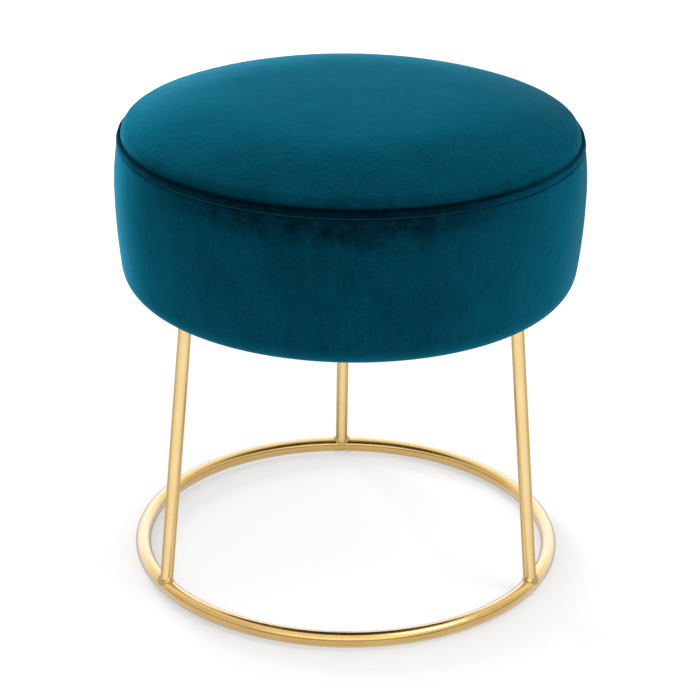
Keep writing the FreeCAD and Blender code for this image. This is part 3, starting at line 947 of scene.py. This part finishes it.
# %% Ring
ring_low, ring_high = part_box("floor_ring")
bar_radius = (ring_high.z - ring_low.z) / 2
ring_radius = ring_high.x - bar_radius
ring_level = ring_low.z + bar_radius
ring_steps = 240
bm = bmesh.new()
upright = Matrix.Translation((ring_radius, 0, ring_level)) @ Matrix.Rotation(math.pi / 2, 4, "X")
bmesh.ops.create_circle(bm, segments=36, radius=bar_radius, matrix=upright)
spin_round(bm, bm.verts[:] + bm.edges[:], FULL_TURN, ring_steps)
ring_bar = to_object(bm, "ring_bar", gold_ring)
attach(ring_bar, "root")
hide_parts("floor_ring")
print("ring radius", round(ring_radius, 4), "bar", round(bar_radius, 4), "level", round(ring_level, 4))


# %% Legs
leg_radius = 5.0 * MM
leg_top_reach = 139.7 * MM
leg_top_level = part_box("leg_rear")[1].z
cut_height = 20.0 * MM
cope_steps = 40
SIDES = ("rear", "front_left", "front_right")


def ring_distance(place):
    """How far a point is from the surface of the ring's bar."""
    return Vector((place.xy.length - ring_radius, place.z - ring_level)).length - bar_radius


def make_leg(side):
    """One leg with its coped foot."""
    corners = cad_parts["leg_" + side].data.vertices
    middle = sum((v.co for v in corners), Vector()) / len(corners)
    out = Vector((middle.x, middle.y, 0)).normalized()
    foot = out * ring_radius + Vector((0, 0, ring_level))
    lean = (out * leg_top_reach + Vector((0, 0, leg_top_level)) - foot).normalized()
    bm = bmesh.new()
    start = Matrix.Translation(foot + lean * cut_height) @ lean.to_track_quat("Z", "Y").to_matrix().to_4x4()
    lower = bmesh.ops.create_circle(bm, segments=32, radius=leg_radius, matrix=start)["verts"]
    drawn_up = bmesh.ops.extrude_edge_only(bm, edges=bm.edges[:])["geom"]
    upper = [part for part in drawn_up if isinstance(part, bmesh.types.BMVert)]
    for v in upper:
        v.co += lean * (leg_top_level - v.co.z) / lean.z
    for v in lower:
        for _ in range(cope_steps):
            v.co -= lean * ring_distance(v.co) * 0.9
    bmesh.ops.subdivide_edges(bm, edges=[e for e in bm.edges if not e.is_boundary], cuts=24)
    bmesh.ops.holes_fill(bm, edges=[e for e in bm.edges if e.is_boundary], sides=0)
    made = to_object(bm, "leg_bar_" + side, gold_leg)
    made.data.set_sharp_from_angle(angle=math.radians(40))
    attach(made, "root")
    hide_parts("leg_" + side)
    return made


legs = [make_leg(side) for side in SIDES]
print("legs:", [(leg.name, len(leg.data.polygons)) for leg in legs])


# %% Welds
def smooth_copy(node_name, name, material):
    """A merged and smooth-shaded copy of a frame node, which takes its place."""
    bm = bmesh.new()
    bm.from_mesh(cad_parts[node_name].data)
    made = to_object(bm, name, material)
    made.data.set_sharp_from_angle(angle=math.radians(50))
    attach(made, "root")
    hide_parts(node_name)
    return made


for side in SIDES:
    smooth_copy("foot_weld_" + side, "foot_bead_" + side, gold_weld)
    smooth_copy("plate_weld_" + side, "plate_bead_" + side, gold_weld)
print("weld beads:", 2 * len(SIDES))

# %% [markdown]
# ## Hidden layers and fasteners
#
# Most of these pieces are inside the seat, but the part is also shown taken apart, so each gets its own
# finish: zinc with its spangle, plywood with its plies, foam with open cells, wadding with loose fibres and
# clear silicone for the floor pads.

# %% Zinc
zinc, tree, shader = new_material("bright_zinc", {"Metallic": 1.0})
spot = object_place(tree)
spangle = add(tree, "ShaderNodeTexVoronoi", {"Vector": spot, "Scale": 900.0}).outputs["Color"]
tone = axes(tree, spangle)[0]
tree.links.new(mixed(tree, tone, (0.52, 0.53, 0.55, 1), (0.68, 0.68, 0.66, 1)), shader["Base Color"])
tree.links.new(spread(tree, tone, 0.0, 1.0, 0.28, 0.45), shader["Roughness"])
print("material:", zinc.name)

# %% Plywood
PLY = 3.0 * MM
plywood, tree, shader = new_material("birch_plywood", {"Specular IOR Level": 0.3})
spot = object_place(tree)
figure = grain(tree, spot, (14, 240, 40), 4.0, 0.6)
ply = maths(tree, "FRACT", maths(tree, "MULTIPLY", axes(tree, spot)[2], 1 / PLY))
cross_ply = maths(tree, "GREATER_THAN", ply, 0.5)
face_colour = mixed(tree, figure, (0.50, 0.34, 0.19, 1), (0.70, 0.53, 0.34, 1))
cross_colour = mixed(tree, figure, (0.34, 0.21, 0.11, 1), (0.48, 0.32, 0.18, 1))
tree.links.new(mixed(tree, cross_ply, face_colour, cross_colour), shader["Base Color"])
tree.links.new(spread(tree, figure, 0.3, 0.7, 0.55, 0.8), shader["Roughness"])
relief(tree, shader, figure, 0.0002)
print("material:", plywood.name)

# %% Foam, wadding and pads
foam, tree, shader = new_material("open_cell_foam", {"Roughness": 0.95, "Specular IOR Level": 0.1})
cells = add(tree, "ShaderNodeTexVoronoi", {"Vector": object_place(tree), "Scale": 700.0}).outputs["Distance"]
tree.links.new(mixed(tree, cells, (0.90, 0.83, 0.60, 1), (0.62, 0.53, 0.32, 1)), shader["Base Color"])
relief(tree, shader, cells, -0.0006)

wadding, tree, shader = new_material("white_wadding", {"Roughness": 1.0, "Specular IOR Level": 0.1})
tangle = grain(tree, object_place(tree), (260, 380, 320), 6.0, 0.75)
tree.links.new(mixed(tree, tangle, (0.66, 0.66, 0.64, 1), (0.92, 0.92, 0.90, 1)), shader["Base Color"])
relief(tree, shader, tangle, 0.002)

clear_pad, tree, shader = new_material(
    "clear_silicone", {"Transmission Weight": 0.9, "IOR": 1.41, "Alpha": 0.3},
)
bloom = grain(tree, object_place(tree), (300, 300, 300), 3.0)
tree.links.new(mixed(tree, bloom, (0.58, 0.58, 0.57, 1), (0.66, 0.66, 0.65, 1)), shader["Base Color"])
tree.links.new(spread(tree, bloom, 0.3, 0.7, 0.15, 0.30), shader["Roughness"])
print("materials:", foam.name, wadding.name, clear_pad.name)

# %% Finishes on the frame
finishes = (
    ("floor_ring", gold_ring), ("leg_", gold_leg), ("foot_weld_", gold_weld), ("plate_weld_", gold_weld),
    ("plate_", gold_leg), ("glide_", clear_pad), ("screws", zinc), ("washers", zinc), ("t_nuts", zinc),
    ("hem_staples", zinc), ("dust_cover_staples", zinc), ("seat_board", plywood), ("foam_", foam),
    ("wadding", wadding), ("cover_top_panel", top_velvet), ("cover_side_band", side_velvet),
    ("dust_cover", dust_paint),
)
for name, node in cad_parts.items():
    finish = next(material for start, material in finishes if name.startswith(start))
    node.data.materials.clear()
    node.data.materials.append(finish)
print("finishes on", len(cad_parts), "nodes")
